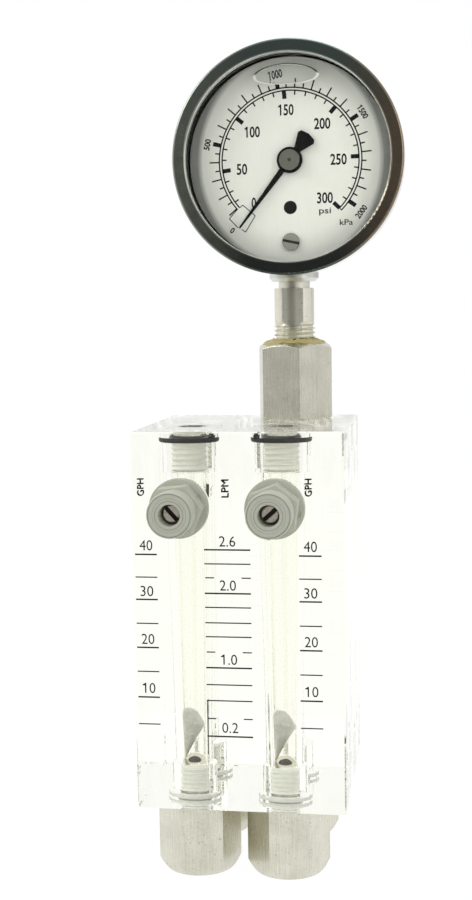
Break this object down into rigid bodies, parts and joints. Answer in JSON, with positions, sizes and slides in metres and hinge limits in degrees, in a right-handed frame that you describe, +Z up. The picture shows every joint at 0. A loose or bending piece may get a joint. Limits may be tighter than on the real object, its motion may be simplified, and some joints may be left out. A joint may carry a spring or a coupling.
{
  "type": "rotameter",
  "caption": "dual flow meter in a clear block with cone floats, needle valves, pipe fittings below and a liquid filled pressure gauge on a hexagon coupling",
  "frame": {"origin": "on the plane that the lower fittings stand on, under the middle of the whole outline", "axes": "+Z up, the dial and the printed scales face -Y, +X is right as seen from the front"},
  "size_m": [0.0758, 0.0868, 0.2448],
  "materials": {
    "clear_block": "clear polished acrylic",
    "satin_steel": "satin turned stainless",
    "bright_steel": "bright turned stainless",
    "polished_ring": "polished stainless",
    "pale_seal": "translucent seal",
    "black_rubber": "matt",
    "grey_plastic": "moulded light grey",
    "float_grey": "turned plastic",
    "window_clear": "clear",
    "dial_white": "matt enamel",
    "hand_black": "matt black",
    "cap_grey": "satin",
    "sealant_yellow": "hardened bead",
    "movement_brass": "bright"
  },
  "bodies": {
    "meter": {"bezel_ring": "polished_ring", "bonnet_oring_left": "pale_seal", "bonnet_oring_right": "pale_seal", "bourdon_tube": "movement_brass", "case_boss": "bright_steel", "coupling_oring": "pale_seal", "dial": "dial_white", "dial_screw": "bright_steel", "fill_plug": "black_rubber", "gauge_case": "satin_steel", "gauge_coupling": "satin_steel", "gauge_socket": "bright_steel", "gauge_window": "window_clear", "hairspring": "movement_brass", "meter_block": "clear_block", "movement_front_plate": "movement_brass", "movement_pillar_a": "movement_brass", "movement_pillar_b": "movement_brass", "movement_pillar_c": "movement_brass", "movement_rear_plate": "movement_brass", "movement_screw_left": "bright_steel", "movement_screw_right": "bright_steel", "plug_oring_left": "black_rubber", "plug_oring_right": "black_rubber", "port_fitting_front_left": "satin_steel", "port_fitting_front_right": "satin_steel", "port_fitting_rear_left": "satin_steel", "port_fitting_rear_right": "satin_steel", "port_oring_front_left": "pale_seal", "port_oring_front_right": "pale_seal", "port_oring_rear_left": "pale_seal", "port_oring_rear_right": "pale_seal", "thread_sealant": "sealant_yellow", "top_plug_left": "bright_steel", "top_plug_right": "bright_steel", "valve_bonnet_left": "grey_plastic", "valve_bonnet_right": "grey_plastic", "window_gasket": "black_rubber"},
    "left_float": {"float_left": "float_grey"},
    "right_float": {"float_right": "float_grey"},
    "left_spindle_ring": {"spindle_oring_left": "black_rubber"},
    "left_spindle": {"valve_spindle_left": "bright_steel"},
    "right_spindle_ring": {"spindle_oring_right": "black_rubber"},
    "right_spindle": {"valve_spindle_right": "bright_steel"},
    "sector": {"sector_gear": "movement_brass", "sector_staff": "movement_brass"},
    "link": {"tip_link": "movement_brass"},
    "hand": {"arbor_pinion": "movement_brass", "gauge_hand": "hand_black", "hand_cap": "cap_grey"}
  },
  "joints": [
    {"name": "float_left_rise", "type": "slide", "parent": "meter", "child": "left_float", "axis": [0, 0, 1], "range_m": [0, 0.0585]},
    {"name": "float_right_rise", "type": "slide", "parent": "meter", "child": "right_float", "axis": [0, 0, 1], "range_m": [0, 0.0585]},
    {"name": "valve_left_travel", "type": "slide", "parent": "meter", "child": "left_spindle_ring", "axis": [0, -1, 0], "range_m": [0, 0.0035]},
    {"name": "valve_left_turn", "type": "hinge", "parent": "left_spindle_ring", "child": "left_spindle", "pos_m": [-0.0234, -0.0034, 0.1112], "axis": [0, -1, 0], "range_deg": [0, 1260.01]},
    {"name": "valve_right_travel", "type": "slide", "parent": "meter", "child": "right_spindle_ring", "axis": [0, -1, 0], "range_m": [0, 0.0035]},
    {"name": "valve_right_turn", "type": "hinge", "parent": "right_spindle_ring", "child": "right_spindle", "pos_m": [0.0034, -0.0034, 0.1112], "axis": [0, -1, 0], "range_deg": [0, 1260.01]},
    {"name": "sector_turn", "type": "hinge", "parent": "meter", "child": "sector", "pos_m": [0.00501, 0.0286, 0.1972], "axis": [0, -1, 0], "range_deg": [0, 27.8], "stiffness_Nm_per_rad": 0.005, "deforming": ["bourdon_tube"]},
    {"name": "hand_turn", "type": "hinge", "parent": "meter", "child": "hand", "pos_m": [0.0034, 0.0286, 0.2103], "axis": [0, 1, 0], "range_deg": [0, 278], "deforming": ["hairspring"]},
    {"name": "link_swing", "type": "hinge", "parent": "sector", "child": "link", "pos_m": [0.01392, 0.0286, 0.19595], "axis": [0, 1, 0], "range_deg": [0, 61.5]}
  ],
  "couplings": [
    {"joint": "valve_left_turn", "follows": "valve_left_travel", "rad_per_m": 6283.2},
    {"joint": "valve_right_turn", "follows": "valve_right_travel", "rad_per_m": 6283.2},
    {"joint": "hand_turn", "follows": "sector_turn", "ratio": 10},
    {"joint": "link_swing", "follows": "sector_turn", "ratio": 2.21}
  ]
}
